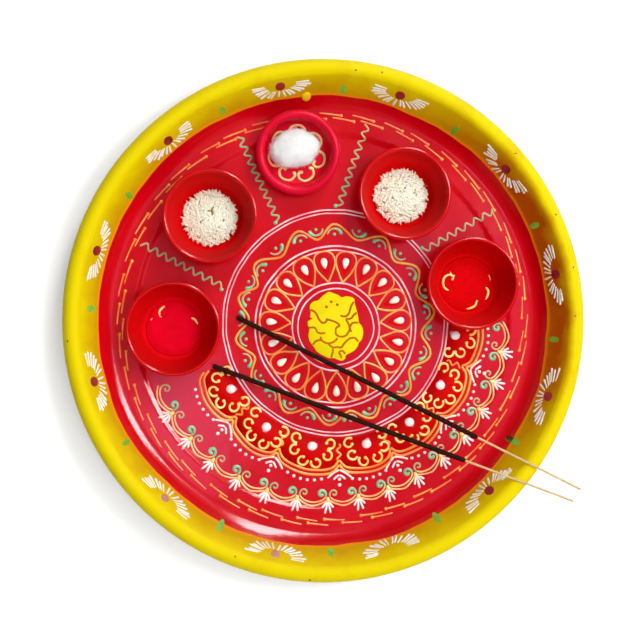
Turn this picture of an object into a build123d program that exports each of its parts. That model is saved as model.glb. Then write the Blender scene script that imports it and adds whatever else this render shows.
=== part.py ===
from build123d import *

import os
from math import atan2, cos, degrees, radians, sin, sqrt

# A puja thali: a pressed steel tray with a flat floor, a low step, a flared wall and a rolled lip.
# Four small bowls, a lamp cup and two incense sticks stand loose on it.
# Millimetres, +Z up, origin at the centre of the tray's underside.
# Seen from above, +X is right and +Y is towards the lamp cup.

os.makedirs("parts", exist_ok=True)

# Tray, from its floor outwards; the wall's spread runs from the ledge to the rim
tray_height = 24.0
tray_sheet = 0.8
floor_radius = 107.5
step_width = 4.3
step_height = 1.2
ledge_width = 10.0
wall_spread = 28.2
cove_radius = 9.0
tray_lip_radius = 5.3
tray_lip_angle = 205.0

# Small bowls, all pressed in one tool
bowl_rim_radius = 27.0
bowl_height = 19.5
bowl_sheet = 0.7
bowl_base_radius = 15.8
bowl_corner_radius = 3.0
bowl_lip_radius = 1.2
bowl_lip_angle = 190.0

# Each bowl: what it holds, its side and its angle on the tray
bowl_angles = (
    ("kumkum", "left", 183.0),
    ("rice", "left", 138.4),
    ("rice", "right", 58.6),
    ("kumkum", "right", 14.3),
)

# How far out each bowl stands, as a share of the room that its foot has on the floor
bowl_reach_shares = (0.962, 0.980, 0.937, 0.951)

# What the bowls hold
rice_edge_height = 1.2
rice_crown_height = 6.0
kumkum_edge_height = 0.6
kumkum_crown_height = 1.4
heap_spread = 0.6
heap_fit = 0.1

# Lamp cup, which stands with its far side up on the step
cup_rim_radius = 24.5
cup_height = 12.5
cup_sheet = 0.7
cup_base_radius = 15.6
cup_corner_radius = 3.4
cup_lip_radius = 2.5
cup_lip_angle = 210.0
cup_angle = 99.6
cup_overhang = 7.2

# Cotton wool in the lamp cup: half its length, half its width, its height and its shift off the cup's axis
cotton_half_length = 14.2
cotton_half_width = 11.9
cotton_height = 14.5
cotton_shift_out = 2.4
cotton_shift_side = 1.4
cotton_gap = 0.3

# Outline of the cotton from its foot to its crown: share of its height, share of its half length and width
cotton_section_shares = ((0.0, 0.66), (0.16, 0.92), (0.42, 1.0), (0.72, 0.86), (0.92, 0.56), (1.0, 0.3))

# Incense sticks
stick_length = 222.0
core_radius = 0.65
paste_radius = 1.5
paste_length = 156.0
paste_round = 0.5
paste_fit = 0.05
seat_gap = 0.15

# Each stick's tip on the floor, as shares of the floor's radius
stick_tip_shares = {"upper": (-0.479, 0.0195), "lower": (-0.608, -0.245)}

# The angle on the tray where each stick crosses the lip
stick_crossing_angles = {"upper": -35.2, "lower": -39.8}

# Centre emblem: a thin seated elephant-headed figure
emblem_half_width = 16.4
emblem_half_height = 20.5
emblem_sheet = 0.4
emblem_shift_x = 6.2
emblem_shift_y = -3.5

# Outline of the figure, clockwise from the crown, as shares of its half width and half height
emblem_outline_shares = (
    (-0.20, 0.99),
    (0.28, 0.84),
    (0.72, 0.80),
    (0.80, 0.30),
    (0.97, -0.06),
    (0.86, -0.52),
    (0.46, -0.86),
    (0.16, -0.98),
    (-0.32, -0.90),
    (-0.74, -0.70),
    (-0.94, -0.28),
    (-0.96, 0.16),
    (-0.88, 0.56),
    (-0.58, 0.76),
)


def flared_wall(start, rim_radius, top, corner_radius, lip_radius, lip_angle):
    """Draws a corner bend, a straight wall and a rolled lip, each tangent to the one before."""
    run = rim_radius - lip_radius - start.X
    rise = top - corner_radius - lip_radius - start.Y
    both_bends = corner_radius + lip_radius
    wall_length = sqrt(run**2 + rise**2 - both_bends**2)
    wall_angle = degrees(atan2(rise, run) + atan2(both_bends, wall_length))
    corner = JernArc(start, (1, 0), corner_radius, wall_angle)
    wall = Line(corner @ 1, corner @ 1 + (corner % 1) * wall_length)
    JernArc(wall @ 1, wall % 1, lip_radius, -lip_angle)


def upright(seat):
    """The plane of a section that stands on a seat, through the seat's axis."""
    return Plane(origin=seat.origin, x_dir=seat.x_dir, z_dir=-seat.y_dir)


def save(piece, name):
    """Labels a finished piece and writes it under its name."""
    piece.label = name
    export_step(piece, f"parts/{name}.step")


# Tray: the upper skin is drawn outwards from the centre, and the sheet lies below it
step_bend = 2 * atan2(step_height, step_width)
step_radius = step_width / (2 * sin(step_bend))
shoulder_radius = floor_radius + step_width
ledge_edge_radius = shoulder_radius + ledge_width
ledge_level = tray_sheet + step_height
tray_rim_radius = ledge_edge_radius + wall_spread

with BuildPart() as thali_plate:
    with BuildSketch(Plane.XZ) as tray_section:
        with BuildLine() as tray_skin:
            floor_line = Line((0, tray_sheet), (floor_radius, tray_sheet))
            step_foot = JernArc(floor_line @ 1, (1, 0), step_radius, degrees(step_bend))
            step_top = JernArc(step_foot @ 1, step_foot % 1, step_radius, -degrees(step_bend))
            ledge = Line(step_top @ 1, (ledge_edge_radius, ledge_level))
            bends = (cove_radius, tray_lip_radius, tray_lip_angle)
            flared_wall(ledge @ 1, tray_rim_radius, tray_height, *bends)
            offset(amount=tray_sheet, side=Side.RIGHT)
        make_face()
    revolve(axis=Axis.Z)

save(thali_plate.part, "thali_plate")

# Centre emblem, flat on the floor
emblem_plane = Plane(origin=(emblem_shift_x, emblem_shift_y, tray_sheet))
emblem_points = [(x * emblem_half_width, y * emblem_half_height) for x, y in emblem_outline_shares]

with BuildPart() as centre_emblem:
    with BuildSketch(emblem_plane) as emblem_face:
        with BuildLine() as emblem_outline:
            Spline(*emblem_points, periodic=True)
        make_face()
    extrude(amount=emblem_sheet)

save(centre_emblem.part, "centre_emblem")

# Bowls and what they hold
heap_heights = {
    "rice": (rice_edge_height, rice_crown_height),
    "kumkum": (kumkum_edge_height, kumkum_crown_height),
}

for (content, side, angle), reach_share in zip(bowl_angles, bowl_reach_shares):
    reach = reach_share * (floor_radius - bowl_base_radius)
    foot = (reach * cos(radians(angle)), reach * sin(radians(angle)), tray_sheet)
    seat = Plane(origin=foot)
    edge_height, crown_height = heap_heights[content]

    with BuildPart() as bowl:
        with BuildSketch(upright(seat)) as bowl_section:
            with BuildLine() as bowl_skin:
                base = Line((0, bowl_sheet), (bowl_base_radius, bowl_sheet))
                bends = (bowl_corner_radius, bowl_lip_radius, bowl_lip_angle)
                flared_wall(base @ 1, bowl_rim_radius, bowl_height, *bends)
                offset(amount=bowl_sheet, side=Side.RIGHT)
            make_face()
        revolve(axis=Axis(seat.origin, seat.z_dir))

    save(bowl.part, f"{content}_bowl_{side}")

    with BuildPart() as heap:
        with BuildSketch(upright(seat.offset(bowl_sheet + heap_fit))) as heap_section:
            with BuildLine() as heap_outline:
                heap_foot = Line((0, 0), (bowl_base_radius - heap_fit, 0))
                heap_edge = Line(heap_foot @ 1, (bowl_base_radius + heap_spread, edge_height))
                heap_crown = TangentArc((0, crown_height), heap_edge @ 1, tangent=(1, 0))
                Line((0, crown_height), (0, 0))
            make_face()
        revolve(axis=Axis(seat.origin, seat.z_dir))

    save(heap.part, f"{content}_{side}")

# Lamp cup: its near side stands on the floor and its far side on the step's shoulder
cup_near_edge = floor_radius + cup_overhang - 2 * cup_base_radius
cup_tilt = atan2(step_height, shoulder_radius - cup_near_edge)
cup_outwards = Vector(cos(radians(cup_angle)), sin(radians(cup_angle)))
cup_slope = cup_outwards * cos(cup_tilt) + Vector(0, 0, sin(cup_tilt))
cup_upwards = Vector(0, 0, cos(cup_tilt)) - cup_outwards * sin(cup_tilt)
cup_near_point = cup_outwards * cup_near_edge + Vector(0, 0, tray_sheet + seat_gap)
cup_seat = Plane(origin=cup_near_point + cup_slope * cup_base_radius, x_dir=cup_slope, z_dir=cup_upwards)

with BuildPart() as diya_cup:
    with BuildSketch(upright(cup_seat)) as cup_section:
        with BuildLine() as cup_skin:
            cup_base = Line((0, cup_sheet), (cup_base_radius, cup_sheet))
            bends = (cup_corner_radius, cup_lip_radius, cup_lip_angle)
            flared_wall(cup_base @ 1, cup_rim_radius, cup_height, *bends)
            offset(amount=cup_sheet, side=Side.RIGHT)
        make_face()
    revolve(axis=Axis(cup_seat.origin, cup_seat.z_dir))

save(diya_cup.part, "diya_cup")

# Cotton wool, a rounded wad that rests in the lamp cup
cotton_middle = cup_seat.origin + cup_seat.x_dir * cotton_shift_out + cup_seat.y_dir * cotton_shift_side
cotton_seat = Plane(origin=cotton_middle, x_dir=-cup_seat.y_dir, z_dir=cup_seat.z_dir)

with BuildPart() as cotton_puff:
    for height_share, width_share in cotton_section_shares:
        with BuildSketch(cotton_seat.offset(cup_sheet + cotton_gap + height_share * cotton_height)):
            Ellipse(width_share * cotton_half_length, width_share * cotton_half_width)
    loft()

save(cotton_puff.part, "cotton_puff")

# Incense sticks: each leans from its tip on the floor over the crest of the lip
lip_crest_radius = tray_rim_radius - tray_lip_radius

for level, (tip_x_share, tip_y_share) in stick_tip_shares.items():
    tip_level = tray_sheet + paste_radius + seat_gap
    tip = Vector(tip_x_share * floor_radius, tip_y_share * floor_radius, tip_level)
    crossing_angle = radians(stick_crossing_angles[level])
    crossing = Vector(
        lip_crest_radius * cos(crossing_angle),
        lip_crest_radius * sin(crossing_angle),
        tray_height + core_radius + seat_gap,
    )
    stick_plane = Plane(origin=tip, z_dir=crossing - tip)

    with BuildPart() as core:
        with BuildSketch(stick_plane) as core_section:
            Circle(core_radius)
        extrude(amount=stick_length)

    save(core.part, f"incense_core_{level}")

    with BuildPart() as paste:
        with BuildSketch(stick_plane) as paste_section:
            Circle(paste_radius)
            Circle(core_radius + paste_fit, mode=Mode.SUBTRACT)
        extrude(amount=paste_length)
        fillet(paste.edges().filter_by(GeomType.CIRCLE).group_by(SortBy.RADIUS)[-1], paste_round)

    save(paste.part, f"incense_paste_{level}")
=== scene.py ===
import math
import random
from bisect import bisect_left
from functools import cached_property

import bmesh
import bpy
from mathutils import Matrix, Vector, noise

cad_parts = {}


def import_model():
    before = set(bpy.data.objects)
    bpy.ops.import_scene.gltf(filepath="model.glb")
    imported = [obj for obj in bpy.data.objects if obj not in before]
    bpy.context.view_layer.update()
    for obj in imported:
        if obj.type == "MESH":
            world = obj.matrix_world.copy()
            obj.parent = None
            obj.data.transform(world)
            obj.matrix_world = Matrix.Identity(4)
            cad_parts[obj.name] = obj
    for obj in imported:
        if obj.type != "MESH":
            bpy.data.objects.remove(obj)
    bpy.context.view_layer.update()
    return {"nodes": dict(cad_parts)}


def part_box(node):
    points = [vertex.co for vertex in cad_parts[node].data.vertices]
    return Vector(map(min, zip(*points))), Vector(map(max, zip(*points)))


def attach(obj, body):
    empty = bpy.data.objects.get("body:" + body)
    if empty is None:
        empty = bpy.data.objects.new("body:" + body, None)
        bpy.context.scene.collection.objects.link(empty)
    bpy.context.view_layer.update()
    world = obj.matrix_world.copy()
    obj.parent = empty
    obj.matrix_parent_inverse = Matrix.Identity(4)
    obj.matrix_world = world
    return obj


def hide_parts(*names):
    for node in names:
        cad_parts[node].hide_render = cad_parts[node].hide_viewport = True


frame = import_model()

# A painted puja thali with small bowls, a lamp cup and incense sticks, seen from above.
# Lengths are millimetres unless said otherwise, and angles are degrees counterclockwise from +X.
MM = 0.001

# Tray
TRAY_SHEET = 0.8
TRAY_HEIGHT = 24.0
FLOOR_RADIUS = 107.5
STEP_WIDTH = 4.3
STEP_HEIGHT = 1.2
LEDGE_WIDTH = 10.0
RIM_RADIUS = 150.0
COVE_RADIUS = 9.0
TRAY_LIP_RADIUS = 5.3
TRAY_LIP_ANGLE = 205.0

# Small bowls
BOWL_SHEET = 0.7
BOWL_HEIGHT = 19.5
BOWL_BASE_RADIUS = 15.8
BOWL_RIM_RADIUS = 27.0
BOWL_CORNER_RADIUS = 3.0
BOWL_LIP_RADIUS = 1.2
BOWL_LIP_ANGLE = 190.0

# Lamp cup, which leans back on the step
CUP_SHEET = 0.7
CUP_HEIGHT = 12.5
CUP_BASE_RADIUS = 15.6
CUP_RIM_RADIUS = 24.5
CUP_CORNER_RADIUS = 3.4
CUP_LIP_RADIUS = 2.5
CUP_LIP_ANGLE = 210.0
CUP_ANGLE = 99.6
CUP_OVERHANG = 7.2
SEAT_GAP = 0.15


class Skin:
    """The upper skin of a pressed sheet, drawn outwards from its axis as straight runs and tangent arcs."""

    SPACING = 0.25

    def __init__(self, level, base_radius):
        self.stations = [(0.0, level, 0.0)]
        self.walk(base_radius, 0.0)

    def walk(self, length, turn):
        """Goes on for a length while the heading turns by an angle in radians."""
        steps = math.ceil(length / self.SPACING)
        bend = turn / steps
        stride = length / steps
        if bend:
            stride *= math.sin(bend / 2) / (bend / 2)
        for _ in range(steps):
            radius, height, heading = self.stations[-1]
            middle = heading + bend / 2
            radius += stride * math.cos(middle)
            height += stride * math.sin(middle)
            self.stations.append((radius, height, heading + bend))

    def arc(self, radius, turn):
        self.walk(radius * abs(turn), turn)

    def flared_wall(self, rim_radius, top, corner_radius, lip_radius, lip_angle):
        """Adds a corner bend, a straight wall and a rolled lip."""
        start_radius, start_height, _ = self.stations[-1]
        run = rim_radius - lip_radius - start_radius
        rise = top - corner_radius - lip_radius - start_height
        both_bends = corner_radius + lip_radius
        wall_length = math.sqrt(run**2 + rise**2 - both_bends**2)
        self.arc(corner_radius, math.atan2(rise, run) + math.atan2(both_bends, wall_length))
        self.walk(wall_length, 0.0)
        self.arc(lip_radius, -math.radians(lip_angle))
        crest = max(range(len(self.stations)), key=lambda index: self.stations[index][0])
        self.radii = [station[0] for station in self.stations[: crest + 1]]
        return self

    def at(self, radius):
        """Height and slope of the skin at a distance from its axis."""
        index = min(max(bisect_left(self.radii, radius), 1), len(self.radii) - 1)
        low_radius, low_height, low_slope = self.stations[index - 1]
        high_radius, high_height, high_slope = self.stations[index]
        share = (radius - low_radius) / (high_radius - low_radius)
        height = low_height + share * (high_height - low_height)
        return height, low_slope + share * (high_slope - low_slope)


def tray_skin():
    skin = Skin(TRAY_SHEET, FLOOR_RADIUS)
    step_bend = 2 * math.atan2(STEP_HEIGHT, STEP_WIDTH)
    step_radius = STEP_WIDTH / (2 * math.sin(step_bend))
    skin.arc(step_radius, step_bend)
    skin.arc(step_radius, -step_bend)
    skin.walk(LEDGE_WIDTH, 0.0)
    return skin.flared_wall(RIM_RADIUS, TRAY_HEIGHT, COVE_RADIUS, TRAY_LIP_RADIUS, TRAY_LIP_ANGLE)


TRAY = tray_skin()
BOWL = Skin(BOWL_SHEET, BOWL_BASE_RADIUS).flared_wall(
    BOWL_RIM_RADIUS, BOWL_HEIGHT, BOWL_CORNER_RADIUS, BOWL_LIP_RADIUS, BOWL_LIP_ANGLE
)
CUP = Skin(CUP_SHEET, CUP_BASE_RADIUS).flared_wall(
    CUP_RIM_RADIUS, CUP_HEIGHT, CUP_CORNER_RADIUS, CUP_LIP_RADIUS, CUP_LIP_ANGLE
)


def node_foot(node):
    """The middle of a node's underside."""
    low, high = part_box(node)
    return Vector(((low[0] + high[0]) / 2, (low[1] + high[1]) / 2, low[2])) / MM


def bowl_seat(node):
    return Matrix.Translation(node_foot(node))


def cup_seat():
    """Where the lamp cup stands: its near edge on the floor and its far side on the step's shoulder."""
    near_edge = FLOOR_RADIUS + CUP_OVERHANG - 2 * CUP_BASE_RADIUS
    tilt = math.atan2(STEP_HEIGHT, FLOOR_RADIUS + STEP_WIDTH - near_edge)
    turn = Matrix.Rotation(math.radians(CUP_ANGLE), 4, "Z")
    lean = Matrix.Rotation(-tilt, 4, "Y")
    near_point = Matrix.Translation((near_edge, 0, TRAY_SHEET + SEAT_GAP))
    return turn @ near_point @ lean @ Matrix.Translation((CUP_BASE_RADIUS, 0, 0))


# Plan geometry

def polar(radius, angle, centre=(0.0, 0.0)):
    turn = math.radians(angle)
    return Vector((centre[0] + radius * math.cos(turn), centre[1] + radius * math.sin(turn)))


def shares(steps):
    """Even shares of the way along, from 0 to 1."""
    return [step / steps for step in range(steps + 1)]


def arc_path(radius, start, end, centre=(0.0, 0.0), count=24):
    return [polar(radius, start + (end - start) * share, centre) for share in shares(count)]


def circle(count):
    """The corners of a regular polygon, as pairs of cosine and sine."""
    turns = [2 * math.pi * corner / count for corner in range(count)]
    return [(math.cos(turn), math.sin(turn)) for turn in turns]


def placed(path, origin, angle=0.0, mirror=1.0):
    """A motif drawn along +X, turned to an angle and moved to its place."""
    turn = math.radians(angle)
    cosine, sine = math.cos(turn), math.sin(turn)
    result = []
    for x, y in path:
        y *= mirror
        result.append(Vector((origin[0] + x * cosine - y * sine, origin[1] + x * sine + y * cosine)))
    return result


def smooth_path(points, closed=False, density=8):
    """A Catmull-Rom curve through a few points."""
    points = [Vector(point) for point in points]
    first, last = points[0], points[-1]
    line = [last, *points, first, points[1]] if closed else [first, *points, last]
    result = []
    for a, b, c, d in zip(line, line[1:], line[2:], line[3:]):
        square = 2 * a - 5 * b + 4 * c - d
        cube = 3 * b - a - 3 * c + d
        for step in range(density):
            t = step / density
            result.append(0.5 * (2 * b + (c - a) * t + square * t**2 + cube * t**3))
    return result if closed else [*result, last]


def even_path(points, spacing, closed=False):
    """The same line with its points a steady distance apart, and its length."""
    if closed:
        points = points + points[:1]
    marks = [0.0]
    for a, b in zip(points, points[1:]):
        marks.append(marks[-1] + (b - a).length)
    count = max(4, round(marks[-1] / spacing))
    result = []
    index = 1
    for step in range(count if closed else count + 1):
        goal = marks[-1] * step / count
        while index < len(marks) - 1 and marks[index] < goal:
            index += 1
        span = marks[index] - marks[index - 1]
        share = (goal - marks[index - 1]) / span if span else 0.0
        result.append(points[index - 1].lerp(points[index], share))
    return result, marks[-1]


# Pieces

# Keeps the hand's wobble the same in every run
WOBBLE_SEED = 5
noise.seed_set(WOBBLE_SEED)


class Shell:
    """Points and faces of closed forms, each built up ring by ring."""

    def __init__(self):
        self.vertices = []
        self.faces = []

    def tube(self, rings, closed=False):
        """Joins rings in order; an end is flat or runs to a point, unless both ends are joined."""
        starts = []
        for ring in rings:
            starts.append(len(self.vertices))
            self.vertices.extend(ring)
        sides = len(rings[1])
        bands = list(zip(starts, starts[1:]))
        if closed:
            bands.append((starts[-1], starts[0]))
        first_point = starts[0] if len(rings[0]) == 1 else None
        last_point = starts[-1] if len(rings[-1]) == 1 else None
        for corner in range(sides):
            beside = (corner + 1) % sides
            for here, ahead in bands:
                if here == first_point:
                    self.faces.append((here, ahead + beside, ahead + corner))
                elif ahead == last_point:
                    self.faces.append((here + corner, here + beside, ahead))
                else:
                    self.faces.append((here + corner, here + beside, ahead + beside, ahead + corner))
        for start, ring in ((starts[0], rings[0]), (starts[-1], rings[-1])):
            if not closed and len(ring) > 1:
                self.faces.append(tuple(range(start, start + sides)))

    def piece(self, name, body, slot, material, seat=None, replaced=None):
        """Makes one piece, in metres, which rides on a body of the frame."""
        seat = seat or Matrix.Identity(4)
        mesh = bpy.data.meshes.new(name)
        mesh.from_pydata([(seat @ Vector(vertex)) * MM for vertex in self.vertices], [], self.faces)
        builder = bmesh.new()
        builder.from_mesh(mesh)
        bmesh.ops.recalc_face_normals(builder, faces=builder.faces)
        builder.to_mesh(mesh)
        builder.free()
        mesh.materials.append(material)
        mesh.shade_smooth()
        piece = bpy.data.objects.new(name, mesh)
        bpy.context.scene.collection.objects.link(piece)
        if replaced:
            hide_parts(replaced)
        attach(piece, body)
        return piece


class ConePaint(Shell):
    """Raised strokes and dabs of cone paint that lie on one skin."""

    # Across a stroke: shares of its half width and of its height
    SECTION = ((-1.0, 0.0), (-0.74, 0.62), (0.0, 1.0), (0.74, 0.62), (1.0, 0.0))
    # Up a dab: shares of its size and of its height
    DAB_RINGS = ((1.0, 0.0), (0.86, 0.5), (0.55, 0.87), (0.2, 1.0))
    SINK = 0.06
    DAB_HEIGHT_SHARE = 0.3
    UNEVEN_SHARE = 0.14
    END_SHARE = 0.12
    DRIFT_SCALE = 0.11
    UNEVEN_SCALE = 0.5

    def __init__(self, name, colour, wobble=0.0, skin=TRAY, height_share=0.34):
        super().__init__()
        self.name = name
        self.colour = colour
        self.wobble = wobble
        self.skin = skin
        self.height_share = height_share

    def shaky(self, point):
        """A point moved a little, as a hand moves it."""
        drift = noise.noise_vector(Vector((point.x * self.DRIFT_SCALE, point.y * self.DRIFT_SCALE, 4.7)))
        return point + self.wobble * Vector((drift.x, drift.y))

    def lie(self, point):
        """The place of a plan point on the skin, and the skin's normal there."""
        radius = max(point.length, 0.001)
        height, slope = self.skin.at(radius)
        tilt = -math.sin(slope) / radius
        normal = Vector((point.x * tilt, point.y * tilt, math.cos(slope)))
        return Vector((point.x, point.y, height)), normal

    def stroke(self, path, width, closed=False, spacing=0.4):
        """Squeezes out a line; width is a size or a function of the share of the way along."""
        points, length = even_path([self.shaky(Vector(point)) for point in path], spacing, closed)
        count = len(points)
        rings = []
        for index, point in enumerate(points):
            share = index / (count - 1)
            wide = width(share) if callable(width) else width
            place = Vector((point.x * self.UNEVEN_SCALE, point.y * self.UNEVEN_SCALE, 1.3))
            wide *= 1 + self.UNEVEN_SHARE * noise.noise(place)
            run = min(share, 1 - share) * length / (wide / 2)
            if not closed and run < 1:
                wide *= max(self.END_SHARE, math.sqrt(1 - (1 - run) ** 2))
            before = points[index - 1] if closed or index else point
            after = points[(index + 1) % count] if closed or index < count - 1 else point
            spot, normal = self.lie(point)
            side = normal.cross(self.lie(after)[0] - self.lie(before)[0]).normalized()
            ring = []
            for across, rise in self.SECTION:
                lift = rise * wide * self.height_share - self.SINK
                ring.append(spot + side * (across * wide / 2) + normal * lift)
            rings.append(ring)
        self.tube(rings, closed)

    def dab(self, point, length, width, angle=0.0, tip=0.0, height=None, corners=14):
        """A drop of paint, pointed towards the angle by its tip share."""
        height = height or self.DAB_HEIGHT_SHARE * width
        point = self.shaky(Vector(point))
        rings = []
        for spread, rise in self.DAB_RINGS:
            ring = []
            for cosine, sine in circle(corners):
                x = spread * length / 2 * cosine
                y = spread * width / 2 * sine * (1 - tip * (1 + cosine) / 2)
                spot, normal = self.lie(placed([(x, y)], point, angle)[0])
                ring.append(spot + normal * (rise * height - self.SINK))
            rings.append(ring)
        self.tube(rings)

    def lay(self, body="tray", slot="tray_paint", seat=None):
        self.piece(self.name, body, slot, paints[self.colour], seat)


def lay_all(*layers):
    for layer in layers:
        layer.lay()


def taper(start, end):
    """A stroke's width that goes evenly from its start to its end."""
    return lambda share: start + (end - start) * share


# Materials

def metres(*lengths):
    return tuple(length * MM for length in lengths)


class Finish:
    """A procedural material with short ways to add its nodes, which work in metres."""

    def __init__(self, name):
        self.material = bpy.data.materials.new(name)
        self.material.use_nodes = True
        self.tree = self.material.node_tree
        self.shader = self.tree.nodes["Principled BSDF"]

    @cached_property
    def coordinates(self):
        return self.node("TexCoord").outputs

    def join(self, value, socket):
        """Links a socket or sets a value; colours come without their alpha."""
        if isinstance(value, bpy.types.NodeSocket):
            self.tree.links.new(value, socket)
        else:
            socket.default_value = (*value, 1.0) if socket.type == "RGBA" else value

    def node(self, kind, inputs=(), **settings):
        node = self.tree.nodes.new("ShaderNode" + kind)
        for key, value in settings.items():
            setattr(node, key, value)
        for key, value in dict(inputs).items():
            self.join(value, node.inputs[key])
        return node

    def set(self, **sockets):
        """Sets or links the shader's sockets, with an underscore for a space."""
        for key, value in sockets.items():
            self.join(value, self.shader.inputs[key.replace("_", " ")])

    def maths(self, operation, *values):
        return self.node("Math", enumerate(values), operation=operation).outputs[0]

    def vector_maths(self, operation, *values):
        return self.node("VectorMath", enumerate(values), operation=operation).outputs

    def axes(self, kind="Object"):
        return self.node("SeparateXYZ", {0: self.coordinates[kind]}).outputs

    def stretched(self, **settings):
        """Coordinates for a grain that runs one way."""
        return self.node("Mapping", {"Vector": self.coordinates["Object"], **settings}).outputs[0]

    def noise(self, scale, detail=3.0, place=None):
        place = place or self.coordinates["Object"]
        inputs = {"Vector": place, "Scale": scale, "Detail": detail, "Roughness": 0.55}
        return self.node("TexNoise", inputs).outputs["Fac"]

    def ramp(self, value, span, to=(0.0, 1.0)):
        """Goes from one value to the other while the input goes through a span."""
        inputs = {"Value": value, "From Min": span[0], "From Max": span[1], "To Min": to[0], "To Max": to[1]}
        return self.node("MapRange", inputs).outputs["Result"]

    def mix(self, share, first, second):
        return self.node("Mix", {0: share, 6: first, 7: second}, data_type="RGBA").outputs[2]

    def blend(self, value, span, first, second):
        return self.mix(self.ramp(value, span), first, second)

    def bump(self, height, distance, strength):
        inputs = {"Height": height, "Distance": distance * MM, "Strength": strength}
        self.set(Normal=self.node("Bump", inputs).outputs["Normal"])

    def drift(self, bowl):
        """The distance from a bowl's upright axis, with a ragged edge."""
        middle = node_foot(bowl) * MM
        flat = self.vector_maths("MULTIPLY", self.coordinates["Object"], (1.0, 1.0, 0.0))[0]
        away = self.vector_maths("DISTANCE", flat, (middle.x, middle.y, 0.0))["Value"]
        return self.maths("MULTIPLY_ADD", self.noise(RAGGED_SCALE), RAGGED_DEPTH * MM, away)


# Patterns: scales are per metre, and spans are the part of a pattern's values that is spread out
CLOUD_SCALE = 35.0
CLOUD_SPAN = (0.35, 0.65)
WIDE_SPAN = (0.3, 0.7)
PEEL_SCALE = 140.0
PEEL_DEPTH = 0.12
RAGGED_SCALE = 90.0
RAGGED_DEPTH = 6.0

# Enamel
ENAMEL_IOR = 1.5
PAINT_IOR = 1.48
ENAMEL_RED = (0.65, 0.001, 0.009)
ENAMEL_DEEP_RED = (0.58, 0.001, 0.005)
BOWL_RED = (0.67, 0.001, 0.002)
BOWL_DEEP_RED = (0.58, 0.001, 0.001)
LEMON = (0.83, 0.655, 0.001)
# Ochre and rust-brown on the wall are partly painted shade: darker low on the wall and on the side away from
# the key light
OCHRE_AND_SHADE = (0.62, 0.34, 0.001)
SHADED_SIDE_BROWN = (0.52, 0.09, 0.001)
EDGE_ORANGE = (0.92, 0.30, 0.004)
STEEL = (0.60, 0.60, 0.60)
DEEP_STEEL = (0.42, 0.42, 0.43)
RED_SHINE = (1.0, 0.2, 0.25)
WHITE_SHINE = (1.0, 1.0, 1.0)
DULL_SHINE = (1.0, 0.04, 0.05)
LIP_SHINE = (1.0, 0.66, 0.70)
YELLOW_SHINE = (1.0, 0.86, 0.06)

# Bowls: how high their polished lip begins, how far dust lies, and how rough they are inside and on the lip
LIP_SPAN = metres(19.0, 19.8)
DUST_SPAN = metres(15.0, 22.5)
BOWL_ROUGHNESS = (0.85, 0.16)

# Tray, as distances from its middle: ends of the red and the orange edge, starts of the matt coat and lemon
RED_END = metres(130.95, 131.2)
ORANGE_END = metres(131.2, 132.6)
MATT_START = metres(130.8, 131.4)
LEMON_START, LEMON_END = metres(131.0, 141.5)
# How much further out the lemon lies on the side away from the key light, where the wall is painted darker
# and rust-brown: painted shade, partly yellow sprayed thin over the red
SHADED_SIDE_START_SHIFT, SHADED_SIDE_END_SHIFT = metres(5.0, 3.5)
SHADED_SIDE = (0.97, 0.24, 0.0)
SHADED_SIDE_SPAN = metres(85.0, 130.0)
# Underneath, where the yellow that is wrapped over the lip gives way to steel
UNDER_SPAN = (-0.05, -0.15)
BARE_SPAN = metres(144.5, 143.5)
EDGE_WAVES = 3.2 * MM


def enamel(name, light, deep, gloss, roughness, shine=WHITE_SHINE):
    """Sprayed enamel on steel, a little uneven."""
    finish = Finish(name)
    cloud = finish.noise(CLOUD_SCALE)
    colour = finish.blend(cloud, CLOUD_SPAN, deep, light)
    rough = finish.ramp(cloud, WIDE_SPAN, (roughness, roughness + 0.1))
    finish.set(Base_Color=colour, Roughness=rough, Specular_Tint=shine)
    finish.set(IOR=ENAMEL_IOR, Specular_IOR_Level=gloss)
    finish.bump(finish.noise(PEEL_SCALE, 2.0), PEEL_DEPTH, 0.5)
    return finish.material


def bowl_finish(name, dust=None, bowl=None):
    """Red enamel, dull inside the bowls and polished by hands along their lips, dusted by what they hold."""
    finish = Finish(name)
    colour = finish.blend(finish.noise(CLOUD_SCALE), CLOUD_SPAN, BOWL_DEEP_RED, BOWL_RED)
    if dust:
        colour = finish.blend(finish.drift(bowl), DUST_SPAN, dust, colour)
    lip = finish.ramp(finish.axes()[2], LIP_SPAN)
    shine = finish.mix(lip, DULL_SHINE, LIP_SHINE)
    rough = finish.ramp(lip, (0.0, 1.0), BOWL_ROUGHNESS)
    finish.set(Base_Color=colour, Roughness=rough, Specular_Tint=shine)
    finish.set(IOR=ENAMEL_IOR, Specular_IOR_Level=0.42)
    finish.bump(finish.noise(PEEL_SCALE, 2.0), PEEL_DEPTH, 0.5)
    return finish.material


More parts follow.
